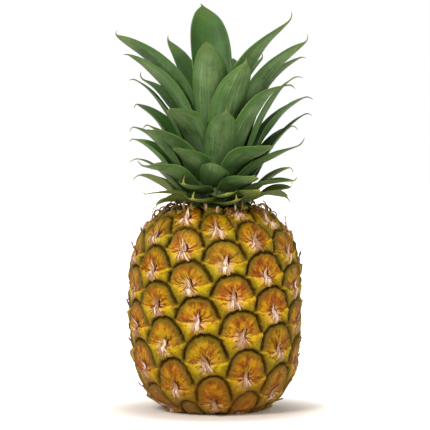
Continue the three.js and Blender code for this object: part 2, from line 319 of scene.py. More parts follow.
def joined(pieces, name):
    """Joins pieces into one that has this name."""
    pick(pieces[0])
    for piece in pieces:
        piece.select_set(True)
    bpy.ops.object.join()
    bpy.context.object.name = name
    return bpy.context.object


def give_values(mesh, domain, values):
    """Gives each point or face of a mesh its named values, for a material to read."""
    for label, value in values.items():
        layer = mesh.attributes.new(label, "FLOAT", domain)
        layer.data.foreach_set("value", np.full(len(layer.data), value))


def remove_faces(made, reach):
    """Cuts away the faces of a piece that lie closer than this to the axis."""
    pick(made)
    choose(made, "FACE", lambda face: math.hypot(face.center.x, face.center.y) < reach * MM)
    bpy.ops.mesh.delete(type="FACE")
    bpy.ops.object.mode_set(mode="OBJECT")


bpy.ops.object.select_all(action="DESELECT")
bpy.ops.mesh.primitive_circle_add(vertices=EYE_SIDES, radius=1, fill_type="NGON")
eye_tile = bpy.context.object
with editing():
    for outer, inner in zip(EYE_RINGS, EYE_RINGS[1:]):
        bpy.ops.mesh.inset(thickness=(outer - inner) * math.cos(math.pi / EYE_SIDES), depth=0)
    bpy.ops.mesh.poke()

tile = np.array([v.co for v in eye_tile.data.vertices])
tile_reach = np.hypot(tile[:, 0], tile[:, 1])[:, None]
tile_side = np.round(np.degrees(np.arctan2(tile[:, 1], tile[:, 0])) * EYE_SIDES / 360)
tile_side = tile_side.astype(int) % EYE_SIDES
on_rim = tile_reach[:, 0] > EYE_RINGS[1] + 0.01

eyes = []
eye_shapes = {}
for eye in range(FIRST_EYE, LAST_EYE + 1):
    centre = np.array((eye, EYE_ZERO_AZIMUTH + DIVERGENCE * eye))
    outline = eye_outline(eye)
    places = centre + tile_reach * (outline[tile_side] - centre)
    girth = np.interp(eye_rise(eye), BARREL_LENGTH, BARREL_RADIUS)
    x = np.radians(places[:, 1] - centre[1]) * girth
    rise = eye_rise(places[:, 0])
    above = rise - eye_rise(eye) - ridge(x)

    # How far each point is from the nearest crease, and how deep the crease is there
    rim_x = np.radians(outline[:, 1] - centre[1]) * girth
    rim_above = eye_rise(outline[:, 0]) - eye_rise(eye)
    start = np.stack((rim_x, rim_above), axis=-1)
    step = np.roll(start, -1, axis=0) - start
    gap = np.stack((x, rise - eye_rise(eye)), axis=-1)[:, None] - start
    share = np.clip((gap * step).sum(-1) / (step * step).sum(-1), 0, 1)
    edges = np.linalg.norm(gap - share[..., None] * step, axis=-1)
    nearest = edges.argmin(axis=1)
    edge = edges.min(axis=1)
    share = np.take_along_axis(share, nearest[:, None], axis=1)[:, 0]
    depth = OUTLINE_DEPTHS[nearest] * (1 - share) + np.roll(OUTLINE_DEPTHS, -1)[nearest] * share

    ripple = np.array([noise.noise(Vector((a, b, eye)) / RIPPLE_SPAN) for a, b in zip(x, above)])
    edge = edge * (1 + RIPPLE * ripple * smooth(5, 1.5, edge))
    girth_share = np.interp(rise, BARREL_LENGTH, BARREL_RADIUS) / FRUIT_RADIUS
    size = LEAST_RELIEF + (1 - LEAST_RELIEF) * girth_share
    bulge = random.uniform(-0.3, 0.4)
    phase = random.uniform(0, 6)
    lean = random.uniform(-TIP_LEAN, TIP_LEAN)
    lift = relief(x, above, edge, depth, bulge, phase) * size
    rim_lift = -CREASE_DEPTH * crease_share(OUTLINE_DEPTHS[tile_side]) * size
    lift = np.where(on_rim, rim_lift, lift)
    points = on_barrel(rise, places[:, 1], lift)
    eye_shapes[eye] = (centre[1], girth, bulge, phase, lean)
    reach = np.hypot(points[:, 0], points[:, 1])
    if reach.max() < POLE_HOLE:
        continue

    copied = own_copy(eye_tile)
    for vertex, point in zip(copied.data.vertices, points):
        vertex.co = grown(point) * MM
    uv = copied.data.uv_layers.new(name="eye_mm")
    corners_at = np.zeros(len(copied.data.loops), int)
    copied.data.loops.foreach_get("vertex_index", corners_at)
    uv.data.foreach_set("uv", np.stack((x, above), axis=-1)[corners_at].ravel())
    give_values(copied.data, "POINT", {"crease_mm": edge + FADED_LINE * (1 - depth)})
    give_values(copied.data, "FACE", {"eye_tone": random.random(), "tip_lean": lean})
    if reach.min() < POLE_HOLE:
        remove_faces(copied, POLE_HOLE)
    eyes.append(copied)
bpy.data.objects.remove(eye_tile)

rind = joined(eyes, "rind")
with editing():
    bpy.ops.mesh.remove_doubles(threshold=MERGE_DISTANCE * MM)
for vertex in rind.data.vertices:
    vertex.co.z = min(max(vertex.co.z, 0), SHOULDER_HEIGHT * MM)

# The foot is open round the axis, and its edge is drawn in to a circle and up into
# the pocket that the cut stalk sits in. The shoulder is closed under the crown stem.
POCKET_RADIUS = 13.3
POCKET_DEPTH = 7.3
POCKET_MARGIN = 1.2  # of foot cut away round the pocket, so that its edge can be drawn in
remove_faces(rind, POCKET_RADIUS + POCKET_MARGIN)


def select_open_edges(low, high):
    """Selects the open edges that lie between two heights, and leaves edit mode on."""
    bpy.ops.object.mode_set(mode="EDIT")
    bpy.ops.mesh.select_mode(type="EDGE")
    bpy.ops.mesh.select_all(action="DESELECT")
    bpy.ops.mesh.select_non_manifold(use_wire=False, use_multi_face=False, use_verts=False)
    bpy.ops.object.mode_set(mode="OBJECT")
    heights = [v.co.z / MM for v in rind.data.vertices]
    for edge in rind.data.edges:
        if edge.select:
            edge.select = low <= heights[edge.vertices[0]] <= high
    bpy.ops.object.mode_set(mode="EDIT")


select_open_edges(0, POCKET_DEPTH)
for height in (0, POCKET_DEPTH):
    bpy.ops.mesh.extrude_region()
    bpy.ops.object.mode_set(mode="OBJECT")
    for vertex in rind.data.vertices:
        if vertex.select:
            flat = Vector((vertex.co.x, vertex.co.y)).normalized() * POCKET_RADIUS
            vertex.co = Vector((*flat, height)) * MM
    bpy.ops.object.mode_set(mode="EDIT")
bpy.ops.mesh.edge_face_add()
bpy.ops.mesh.poke()
select_open_edges(SHOULDER_HEIGHT / 2, SHOULDER_HEIGHT + 1)
bpy.ops.mesh.edge_face_add()
bpy.ops.mesh.poke()
with editing():
    bpy.ops.mesh.quads_convert_to_tris()
    bpy.ops.mesh.normals_make_consistent(inside=False)
bpy.ops.object.shade_smooth()

def linear(code):
    """An sRGB hex colour as linear red, green, blue and alpha."""
    parts = [int(code[i : i + 2], 16) / 255 for i in (1, 3, 5)]
    curve = [c / 12.92 if c <= 0.04045 else ((c + 0.055) / 1.055) ** 2.4 for c in parts]
    return (*curve, 1.0)


def set_inputs(material, node, inputs):
    """Links or sets sockets of a node, by name or number. A hex colour is made linear."""
    for socket, value in inputs.items():
        if isinstance(value, bpy.types.NodeSocket):
            material.node_tree.links.new(value, node.inputs[socket])
        else:
            value = linear(value) if isinstance(value, str) else value
            node.inputs[socket].default_value = value


def add_node(material, kind, inputs=None, output=0, **settings):
    """Adds a node with its settings and inputs, and gives one of its outputs."""
    made = material.node_tree.nodes.new(f"ShaderNode{kind}")
    for name, value in settings.items():
        setattr(made, name, value)
    set_inputs(material, made, inputs or {})
    return made.outputs[output]


def new_material(name):
    """A new material and its shader."""
    made = bpy.data.materials.new(name)
    made.use_nodes = True
    return made, made.node_tree.nodes["Principled BSDF"]


# Settings that many nodes share: Map Range eased at both ends, its sockets being the
# value, the span it comes from and the span it goes to, and Mix for colours, whose
# sockets are 0 for the share and 6 and 7 for the two colours.
EASED = {"interpolation_type": "SMOOTHSTEP"}
COLOURS = {"data_type": "RGBA", "output": 2}


def layered(material, surface, *layers):
    """Lays colours over one another. Each layer is the value that drives it, where that
    value starts it and where it is full, how much of it there then is, and its colour."""
    for driver, start, full, most, colour in layers:
        share = add_node(material, "MapRange", {0: driver, 1: start, 2: full, 4: most}, **EASED)
        surface = add_node(material, "Mix", {0: share, 6: surface, 7: colour}, **COLOURS)
    return surface


# The rind is the waxy living skin of the fruit, ripened from green to yellow from the
# foot up. The shields are ochre with orange and olive wrinkles that run in from a
# greenish rim, the bracts lemon yellow, turning olive in the creases, and each crease
# is a dark brown line, partly dried tissue and partly painted shade in the groove. A
# bract's middle is pale where its tip is peeling.
skin, shader = new_material("pineapple_skin")
place = add_node(skin, "TexCoord", output="Object")
coarse = add_node(skin, "TexNoise", {"Vector": place, "Scale": 1 / (8 * MM), "Detail": 3.0})
fine_noise = {"Vector": place, "Scale": 1 / (2.4 * MM), "Detail": 4.0}
fine = add_node(skin, "TexNoise", fine_noise)
colour_noise = add_node(skin, "TexNoise", fine_noise, output="Color")
grain = add_node(skin, "TexNoise", {"Vector": place, "Scale": 1 / (0.7 * MM), "Detail": 3.0})
eye_place = add_node(skin, "UVMap", uv_map="eye_mm")
wobble = add_node(skin, "VectorMath", {0: colour_noise, 1: (0.5, 0.5, 0.5)}, operation="SUBTRACT")
wobble = add_node(skin, "VectorMath", {0: wobble, 1: (2.2, 2.2, 0)}, operation="MULTIPLY")
bent = add_node(skin, "VectorMath", {0: eye_place, 1: wobble}, operation="ADD")
across = add_node(skin, "SeparateXYZ", {0: bent}, output=0)
above = add_node(skin, "SeparateXYZ", {0: bent}, output=1)
crease, tone, lean = (
    add_node(skin, "Attribute", output="Fac", attribute_name=name)
    for name in ("crease_mm", "eye_tone", "tip_lean")
)

# Wrinkles and rays, as noise drawn out along the way to the eye's middle
middle_up = add_node(skin, "Math", {0: above, 1: 1.5}, operation="SUBTRACT")
turn = add_node(skin, "Math", {0: across, 1: middle_up}, operation="ARCTAN2")
far = add_node(skin, "CombineXYZ", {0: across, 1: middle_up})
far = add_node(skin, "VectorMath", {0: far}, output="Value", operation="LENGTH")
ray_place = add_node(skin, "CombineXYZ", {0: turn, 1: tone, 2: far})
stretch = {0: ray_place, 1: (4.5, 60.0, 0.16)}
ray_place = add_node(skin, "VectorMath", stretch, operation="MULTIPLY")
rays = add_node(skin, "TexNoise", {"Vector": ray_place, "Scale": 1.0, "Detail": 4.0})
ragged = add_node(skin, "Math", {0: fine, 1: rays}, operation="ADD")
ragged = add_node(skin, "Math", {0: ragged, 1: 2.4, 2: -2.4}, operation="MULTIPLY_ADD")
ragged_crease = add_node(skin, "Math", {0: crease, 1: ragged}, operation="ADD")

shield = layered(
    skin,
    "#b98a1e",
    (coarse, 0.4, 0.6, 1.0, "#9b5811"),
    (rays, 0.5, 0.64, 0.8, "#60340a"),
    (rays, 0.47, 0.34, 0.7, "#c79624"),
    (fine, 0.53, 0.68, 0.6, "#744509"),
    (ragged_crease, 6.0, 1.4, 0.9, "#62530e"),
)
bract = layered(skin, "#bda41a", (coarse, 0.4, 0.6, 1.0, "#ad8a16"))
off_middle = add_node(skin, "Math", {0: across}, operation="ABSOLUTE")
wing = add_node(skin, "MapRange", {0: off_middle, 1: 2.0, 2: 7.0, 3: 0.2, 4: 1.0}, **EASED)
share = add_node(skin, "MapRange", {0: above, 1: -4.5, 2: -0.8, 4: 0.85}, **EASED)
share = add_node(skin, "Math", {0: share, 1: wing}, operation="MULTIPLY")
bract = add_node(skin, "Mix", {0: share, 6: bract, 7: "#d2ac28"}, **COLOURS)
bract = layered(
    skin,
    bract,
    (above, -4.5, -10.0, 0.75, "#82741a"),
    (fine, 0.5, 0.64, 0.6, "#97721a"),
    (fine, 0.47, 0.36, 0.5, "#d8bd3a"),
    (rays, 0.52, 0.64, 0.65, "#86520f"),
    (ragged_crease, 5.5, 1.0, 0.9, "#6e6010"),
)

# The shield lies over the bract, and just above the ridge where it starts a thin
# painted shadow from the bract's raised edge darkens it
uneven = add_node(skin, "Math", {0: rays, 1: 4.0, 2: -2.0}, operation="MULTIPLY_ADD")
uneven = add_node(skin, "Math", {0: above, 1: uneven}, operation="ADD")
off_ridge = add_node(skin, "Math", {0: above, 1: 0.6}, operation="SUBTRACT")
off_ridge = add_node(skin, "Math", {0: off_ridge}, operation="ABSOLUTE")
surface = layered(
    skin, bract, (uneven, -0.5, 0.5, 1.0, shield), (off_ridge, 0.9, 0.2, 0.5, "#7e4212")
)

# Round the middle the skin is drawn into pale and scorched rays, longest downward
below_middle = add_node(skin, "MapRange", {0: above, 1: -3.0, 2: 3.0, 3: 3.0, 4: 0.0})
far_out = add_node(skin, "Math", {0: far, 1: below_middle}, operation="SUBTRACT")
for ray_from, ray_to, far_from, far_to, colour in (
    (0.53, 0.43, 8.0, 2.2, "#e0bb94"),
    (0.51, 0.6, 9.5, 3.0, "#7a4018"),
):
    ray = add_node(skin, "MapRange", {0: rays, 1: ray_from, 2: ray_to, 4: 0.9}, **EASED)
    share = add_node(skin, "MapRange", {0: far_out, 1: far_from, 2: far_to}, **EASED)
    share = add_node(skin, "Math", {0: share, 1: ray}, operation="MULTIPLY")
    surface = add_node(skin, "Mix", {0: share, 6: surface, 7: colour}, **COLOURS)

# The slit of the dried flower, beside the foot of the bract's tip
slit_lean = add_node(skin, "Math", {0: lean, 1: above}, operation="MULTIPLY")
slit_lean = add_node(skin, "Math", {0: slit_lean, 1: 0.1, 2: 2.3}, operation="MULTIPLY_ADD")
slit_middle = add_node(skin, "CombineXYZ", {0: slit_lean, 1: 3.4})
slit = add_node(skin, "VectorMath", {0: bent, 1: slit_middle}, operation="SUBTRACT")
slit = add_node(skin, "VectorMath", {0: slit, 1: (1.1, 3.4, 1.0)}, operation="DIVIDE")
slit = add_node(skin, "VectorMath", {0: slit}, output="Value", operation="LENGTH")

# The slit, specks, dust in the grain, the crease line of dried tissue and painted
# shade, and a darker brown towards the bottom
speck = add_node(skin, "TexVoronoi", {"Vector": place, "Scale": 1 / (4.8 * MM)})
foot = add_node(skin, "SeparateXYZ", {0: place}, output=2)
surface = layered(
    skin,
    surface,
    (slit, 1.2, 0.55, 1.0, "#45160a"),
    (speck, 0.13, 0.06, 0.8, "#3f230c"),
    (grain, 0.45, 0.72, 0.45, "#5e3d10"),
    # the dark line in each crease: dried tissue, deepened with painted shade in the groove
    (ragged_crease, 1.9, 0.8, 0.75, "#4f3c0a"),
    (ragged_crease, 0.85, 0.3, 0.9, "#3a2008"),
    # darker and browner towards the bottom of the fruit
    (foot, 60 * MM, 0.0, 0.5, "#76501f"),
)
hue = add_node(skin, "MapRange", {0: tone, 1: 0, 2: 1, 3: 0.488, 4: 0.508})
value = add_node(skin, "MapRange", {0: tone, 1: 0, 2: 1, 3: 1.08, 4: 0.86})
ripeness = {"Hue": hue, "Saturation": 1.14, "Value": value, "Color": surface}
surface = add_node(skin, "HueSaturation", ripeness)
bumps = add_node(skin, "Math", {0: grain, 1: 0.4}, operation="MULTIPLY")
bumps = add_node(skin, "Math", {0: fine, 1: bumps}, operation="ADD")
bumps = add_node(skin, "Math", {0: rays, 1: bumps}, operation="ADD")
bump = add_node(skin, "Bump", {"Strength": 0.6, "Distance": 0.9 * MM, "Height": bumps})
waxy = {"Base Color": surface, "Normal": bump, "Roughness": 0.48, "Specular IOR Level": 0.15}
set_inputs(skin, shader, waxy)
rind.data.materials.append(skin)
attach(rind, "root")
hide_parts("fruit")

# ---- Bract tips
# The bract under each eye ends in a papery point that has dried and peeled off
# the shield. It is a thin strip of fibres, broad at the ridge and ragged below
# it, and it stands off the fruit most on the eyes near the crown.
STRIP_FOOT = -4.5  # below the ridge
STRIP_TIP = 10.0
STRIP_HALF_WIDTH = 2.7
STRIP_THICKNESS = 0.35
LOWEST_STRIP = -41
HIGHEST_STRIP = 34
STRIP_FLOOR = 0.2  # no strip hangs lower than this
OFF_CREASE = 6.0  # under a strip the skin is taken to be this far from a crease
STRANDS = (  # of one bract: sideways at the foot in mm, length and width as shares
    (0.0, 1.0, 1.0),
    (-3.6, 0.55, 0.4),
    (-1.7, 0.8, 0.45),
    (2.0, 0.7, 0.45),
    (4.0, 0.5, 0.35),
)


def thin_strip(steps_across, steps_along, thickness):
    """A strip with a thickness, from -1 to 1 both ways, to be bent, and its points."""
    bpy.ops.object.select_all(action="DESELECT")
    steps = {"x_subdivisions": steps_across, "y_subdivisions": steps_along}
    bpy.ops.mesh.primitive_grid_add(size=2, **steps)
    with editing():
        bpy.ops.mesh.solidify(thickness=-thickness)
    made = bpy.context.object
    return made, np.array([v.co for v in made.data.vertices])


strip, strip_flat = thin_strip(4, 9, STRIP_THICKNESS)
strip_across = strip_flat[:, 0]
strip_along = strip_flat[:, 1] / 2 + 0.5
strip_up = np.where(strip_flat[:, 2] > STRIP_THICKNESS / 2, STRIP_THICKNESS, 0)

strips = []
every_strand = [(e, s) for e in range(LOWEST_STRIP, HIGHEST_STRIP + 1) for s in STRANDS]
for eye, (foot_side, length_share, width_share) in every_strand:
    azimuth, girth, bulge, phase, lean = eye_shapes[eye]
    tip = STRIP_TIP * length_share * random.uniform(0.75, 1.1)
    foot = STRIP_FOOT + random.uniform(-2.5, 0.5)
    side = foot_side * random.uniform(0.7, 1.3)
    stand = 0.3 + (0.7 + 4.2 * smooth(0, 30, eye)) * width_share + random.uniform(0, 1.2)
    twist = random.uniform(-0.5, 0.5)
    wave = random.uniform(0, 6)
    rise = foot + (tip - foot) * strip_along
    width = smooth(-0.35, 0.25, strip_along) * np.maximum(1 - strip_along**1.6, 0.04)
    width *= STRIP_HALF_WIDTH * width_share * random.uniform(0.8, 1.15)
    sway = lean * np.clip(rise, -3, None) / 10 + 0.3 * np.sin(strip_along * 7 + wave)
    x = 0.2 + sway + side * (1 - strip_along) ** 1.3 + strip_across * width
    ground = relief(x, rise, OFF_CREASE, 1.0, bulge, phase)
    arched = 0.5 * (1 - strip_across**2) * smooth(0.1, 0.5, strip_along) * width_share
    lift = ground - 0.3 + smooth(0.0, 0.3, strip_along) * 0.55 + arched + strip_up
    lift += stand * smooth(0.35, 1.1, strip_along)
    lift += twist * strip_across * smooth(0.4, 1, strip_along)
    up = eye_rise(eye) + ridge(x) + rise
    points = on_barrel(up, azimuth + np.degrees(x / girth), lift)
    copied = own_copy(strip)
    for vertex, point in zip(copied.data.vertices, points):
        spot = grown(point)
        spot.z = max(spot.z, STRIP_FLOOR)
        vertex.co = spot * MM
    tone = random.random()
    values = {"strip_across": strip_across, "strip_along": strip_along, "strip_tone": tone}
    give_values(copied.data, "POINT", values)
    strips.append(copied)
bpy.data.objects.remove(strip)
bract_tips = joined(strips, "bract_tips")
with editing():
    bpy.ops.mesh.quads_convert_to_tris()
    bpy.ops.mesh.normals_make_consistent(inside=False)
bpy.ops.object.shade_smooth()

# Dead, dried bract tissue: pinkish white and papery in the middle, with fibres that
# run to the point, and scorched brown along both edges and at the point.
papery, shader = new_material("dried_bract_tissue")
across, along, tone = (
    add_node(papery, "Attribute", output="Fac", attribute_name=name)
    for name in ("strip_across", "strip_along", "strip_tone")
)
fibre_place = add_node(papery, "CombineXYZ", {0: across, 1: along, 2: tone})
stretch = {0: fibre_place, 1: (3.0, 1.5, 50.0)}
fibre_place = add_node(papery, "VectorMath", stretch, operation="MULTIPLY")
fibres = add_node(papery, "TexNoise", {"Vector": fibre_place, "Scale": 1.5, "Detail": 4.0})
off_middle = add_node(papery, "Math", {0: across}, operation="ABSOLUTE")
off_middle = add_node(papery, "Math", {0: fibres, 1: off_middle}, operation="ADD")
tissue = layered(
    papery,
    "#ecd9c4",
    (fibres, 0.38, 0.62, 1.0, "#b98a68"),
    (off_middle, 1.05, 1.4, 0.85, "#7a4a2a"),
    (along, 0.72, 0.98, 0.8, "#7a4526"),
    (along, 0.22, 0.0, 1.0, "#b18a30"),
    (tone, 0.45, 0.9, 0.8, "#8a5a34"),
)
bump = add_node(papery, "Bump", {"Strength": 0.5, "Distance": 0.4 * MM, "Height": fibres})
set_inputs(papery, shader, {"Base Color": tissue, "Normal": bump, "Roughness": 0.75})
bract_tips.data.materials.append(papery)
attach(bract_tips, "root")

# ---- Cut stalk
# The stump of the stalk that the fruit was cut from, flush with the base. It is
# stringy ground tissue inside a thin woody ring, sawn across and dried.
STALK_RADIUS = 13.0
STALK_DEPTH = 7.0
STALK_RINGS = (11.8, 10.2, 8.4, 6.4, 4.2, 2.1)
RIM_BEVEL = 0.5
DRIED_IN = 0.5  # the cut face has shrunk inward by this in patches, and in its middle

bpy.ops.object.select_all(action="DESELECT")
bpy.ops.mesh.primitive_cylinder_add(
    vertices=64,
    radius=STALK_RADIUS * MM,
    depth=STALK_DEPTH * MM,
    location=(0, 0, STALK_DEPTH / 2 * MM),
)
stalk = bpy.context.object
stalk.name = "stalk_cut"
bpy.ops.object.transform_apply(location=True)
heights = [v.co.z for v in stalk.data.vertices]
choose(stalk, "EDGE", lambda edge: len({round(heights[i] / MM) for i in edge.vertices}) == 1)
bpy.ops.mesh.bevel(offset=RIM_BEVEL * MM, segments=2, affect="EDGES")
choose(stalk, "FACE", lambda face: face.normal.z < -0.99)
for outer, inner in zip((STALK_RADIUS - RIM_BEVEL,) + STALK_RINGS, STALK_RINGS):
    bpy.ops.mesh.inset(thickness=(outer - inner) * MM, depth=0)
bpy.ops.mesh.poke()
bpy.ops.object.mode_set(mode="OBJECT")
for vertex in stalk.data.vertices:
    reach = math.hypot(vertex.co.x, vertex.co.y) / MM
    if vertex.co.z < 0.1 * MM and reach < STALK_RADIUS - 1:
        fibrous = abs(noise.noise(vertex.co / (1.6 * MM)))
        vertex.co.z += DRIED_IN * (fibrous + smooth(12, 4, reach)) * MM
bpy.ops.object.shade_smooth_by_angle(angle=math.radians(40))

# Dried cut plant tissue: straw-coloured ground tissue, the darker ends of the strings
# as dots all over it, and a brown corky ring at the edge.
cut_tissue, shader = new_material("dried_stalk_tissue")
place = add_node(cut_tissue, "TexCoord", output="Object")
blotch = add_node(cut_tissue, "TexNoise", {"Vector": place, "Scale": 1 / (6 * MM), "Detail": 4.0})
string = add_node(cut_tissue, "TexVoronoi", {"Vector": place, "Scale": 1 / (1.3 * MM)})
flat = add_node(cut_tissue, "VectorMath", {0: place, 1: (1, 1, 0)}, operation="MULTIPLY")
reach = add_node(cut_tissue, "VectorMath", {0: flat}, output="Value", operation="LENGTH")
tissue = layered(
    cut_tissue,
    "#c2a877",
    (blotch, 0.35, 0.65, 1.0, "#93764a"),
    (string, 0.35, 0.15, 0.8, "#5d4224"),
    (reach, 11.2 * MM, 12.2 * MM, 0.9, "#4f381c"),
)
bump = add_node(cut_tissue, "Bump", {"Strength": 0.5, "Distance": 0.5 * MM, "Height": blotch})
set_inputs(cut_tissue, shader, {"Base Color": tissue, "Normal": bump, "Roughness": 0.85})
stalk.data.materials.append(cut_tissue)
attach(stalk, "root")
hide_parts("cut_stalk")

# ---- Crown stem
# The short green stem on the shoulder that carries the leaves. It is soft plant
# tissue, grown on from the core of the fruit, and the leaves hide nearly all of it.
# The CAD's own solid is shown.

# Young stem tissue in the shade of the leaves: dark green and matt, with pale
# streaks up it where the leaf bases join.
stem_tissue, shader = new_material("green_stem_tissue")
place = add_node(stem_tissue, "TexCoord", output="Object")
streak_scale = (1 / (2 * MM), 1 / (2 * MM), 1 / (12 * MM))
drawn_up = add_node(stem_tissue, "VectorMath", {0: place, 1: streak_scale}, operation="MULTIPLY")
streaks = add_node(stem_tissue, "TexNoise", {"Vector": drawn_up, "Scale": 1.0, "Detail": 3.0})
tissue = layered(stem_tissue, "#2f4019", (streaks, 0.4, 0.7, 1.0, "#5d6a33"))
set_inputs(stem_tissue, shader, {"Base Color": tissue, "Roughness": 0.7})
crown_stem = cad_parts["crown_stem"]
crown_stem.data.materials.clear()
crown_stem.data.materials.append(stem_tissue)

# ---- Crown leaves
# Fifty-seven stiff leaves in the same spiral, each a channel that clasps the
# stem and ends in a dry hooked claw. The outer face has a pale waxy bloom, the
# inner face is deep green, and the margins are thin and yellower.
LEAF_SIDES = 8
LEAF_ACROSS = np.array((-1, -0.55, 0, 0.55, 1, 0.55, 0, -0.55))  # of a section's points
LEAF_FACE = np.array((0, -1, -1, -1, 0, 1, 1, 1))  # -1 is the outer face, 1 the inner
LEAF_COUNT = 57
CLAW_RINGS = ((0.0, 1.0), (0.4, 0.6), (0.75, 0.35))  # way along it, half width in mm
CLAW_THICKNESS = 0.55  # as a share of its width
CLAW_START = 1.5  # inward from the tip of the CAD leaf
LEAF_WANDER = 0.9
WANDER_SPAN = 19.0
LEAF_MERGE = 0.005
MARGIN_CREASE = 0.6  # how sharp the margins stay when a leaf is smoothed
SLIGHT_TWIST = 14  # degrees, either way, of a leaf that isn't among the turned ones
SLIGHT_WIDENING = 1.04
TURNED_LEAVES = {  # degrees that a leaf is twisted towards its tip, and its widening
    46: (-20, 1.1),
    48: (0, 1.12),
    50: (22, 1.1),
    51: (-26, 1.1),
    53: (0, 1.2),
    55: (40, 1.15),
    57: (0, 1.15),
}

# A leaf blade is tough and smooth. Its outer face is grey-green from a bloom of wax
# and fine fibres run along it, its inner face is darker and greener, its foot has painted
# shade from its neighbours over a deeper green, and the low leaves are yellow at the
# tip. The claw is dead, and brown on all but the lowest leaves.
leaf_skin, shader = new_material("pineapple_leaf")
across, along, face, claw, tone, rank = (
    add_node(leaf_skin, "Attribute", output="Fac", attribute_name=name)
    for name in ("across", "along", "face", "claw", "leaf_tone", "leaf_rank")
)
place = add_node(leaf_skin, "TexCoord", output="Object")
clouds = add_node(leaf_skin, "TexNoise", {"Vector": place, "Scale": 1 / (14 * MM), "Detail": 4.0})
flecks = add_node(leaf_skin, "TexNoise", {"Vector": place, "Scale": 1 / (2.5 * MM), "Detail": 3.0})
fibre_place = add_node(leaf_skin, "CombineXYZ", {0: across, 1: along, 2: tone})
stretch = {0: fibre_place, 1: (14.0, 2.2, 40.0)}
fibre_place = add_node(leaf_skin, "VectorMath", stretch, operation="MULTIPLY")
fibre_noise = {"Vector": fibre_place, "Scale": 1.6, "Detail": 5.0, "Roughness": 0.7}
fibres = add_node(leaf_skin, "TexNoise", fibre_noise)
off_middle = add_node(leaf_skin, "Math", {0: across}, operation="ABSOLUTE")
outer = layered(
    leaf_skin,
    "#4a6836",
    (clouds, 0.35, 0.65, 1.0, "#688350"),
    (fibres, 0.5, 0.66, 0.65, "#8aa278"),
    (fibres, 0.48, 0.32, 0.55, "#3a5626"),
    (off_middle, 0.5, 0.9, 0.75, "#416a28"),
)
inner = layered(
    leaf_skin,
    "#30501a",
    (clouds, 0.35, 0.65, 1.0, "#375d20"),
    (fibres, 0.5, 0.7, 0.4, "#517a32"),
)
blade = layered(
    leaf_skin,
    outer,
    (face, -0.1, 0.4, 1.0, inner),
    (flecks, 0.62, 0.7, 0.5, "#3d4a20"),
    # painted shade from the neighbouring leaves, over a deeper green, darkens the foot
    (along, 0.35, 0.0, 0.4, "#3c4c1e"),
    (off_middle, 0.93, 1.0, 0.55, "#8d9b4a"),
    (rank, 0.4, 0.1, 0.5, "#767a35"),
)
frayed = add_node(leaf_skin, "Math", {0: flecks, 1: 0.2, 2: along}, operation="MULTIPLY_ADD")
low_leaf = add_node(leaf_skin, "MapRange", {0: rank, 1: 0.5, 2: 0.2, 3: 0.08, 4: 0.9}, **EASED)
share = add_node(leaf_skin, "MapRange", {0: frayed, 1: 0.86, 2: 1.04}, **EASED)
share = add_node(leaf_skin, "Math", {0: share, 1: low_leaf}, operation="MULTIPLY")
blade = add_node(leaf_skin, "Mix", {0: share, 6: blade, 7: "#aeb33a"}, **COLOURS)
claw_colour = layered(leaf_skin, "#97912f", (rank, 0.2, 0.45, 1.0, "#6d5a30"))
blade = layered(leaf_skin, blade, (claw, 0.25, 0.8, 1.0, claw_colour))
value = add_node(leaf_skin, "MapRange", {0: tone, 1: 0, 2: 1, 3: 0.86, 4: 1.12})
blade = add_node(leaf_skin, "HueSaturation", {"Value": value, "Color": blade})
bump = add_node(leaf_skin, "Bump", {"Strength": 0.4, "Distance": 0.5 * MM, "Height": fibres})
bloom = {"Base Color": blade, "Normal": bump, "Roughness": 0.5, "Specular IOR Level": 0.3}
set_inputs(leaf_skin, shader, bloom)


def leaf_sections(node):
    """The cross sections of a CAD leaf from foot to tip, eight points each, and its tip."""
    copied = own_copy(node)
    copied.hide_viewport = False
    pick(copied)
    with editing():
        bpy.ops.mesh.remove_doubles(threshold=LEAF_MERGE * MM)
    beside = {v.index: set() for v in copied.data.vertices}
    for one, two in (edge.vertices for edge in copied.data.edges):
        beside[one].add(two)
        beside[two].add(one)
    at = np.array([v.co for v in copied.data.vertices])
    bpy.data.objects.remove(copied)
    tip = next(index for index, near in beside.items() if len(near) == LEAF_SIDES)
    rings = []
    done = {tip}
    ring = beside[tip]
    while ring:
        rings.append(at[sorted(ring)])
        done |= ring
        ring = set().union(*(beside[i] for i in ring)) - done
    rings.reverse()

    # Across a section lie one margin, three pairs of outer and inner points, and the
    # other margin
    upward = np.array((0, 0, 1.0))
    outward = np.array((at[tip][0], at[tip][1], 0))
    outward /= np.linalg.norm(outward)
    sideways = np.array((-outward[1], outward[0], 0))
    centres = [ring.mean(0) for ring in rings] + [at[tip]]
    for index, ring in enumerate(rings):
        onward = centres[index + 1] - centres[max(index - 1, 0)]
        inward = upward * (onward @ outward) - outward * (onward @ upward)
        order = np.argsort(ring @ sideways)
        pairs = [sorted(order[i : i + 2], key=lambda k: ring[k] @ inward) for i in (1, 3, 5)]
        outer = [pair[0] for pair in pairs]
        inner = [pair[1] for pair in pairs[::-1]]
        rings[index] = ring[[order[0], *outer, order[-1], *inner]]
    return rings, at[tip]


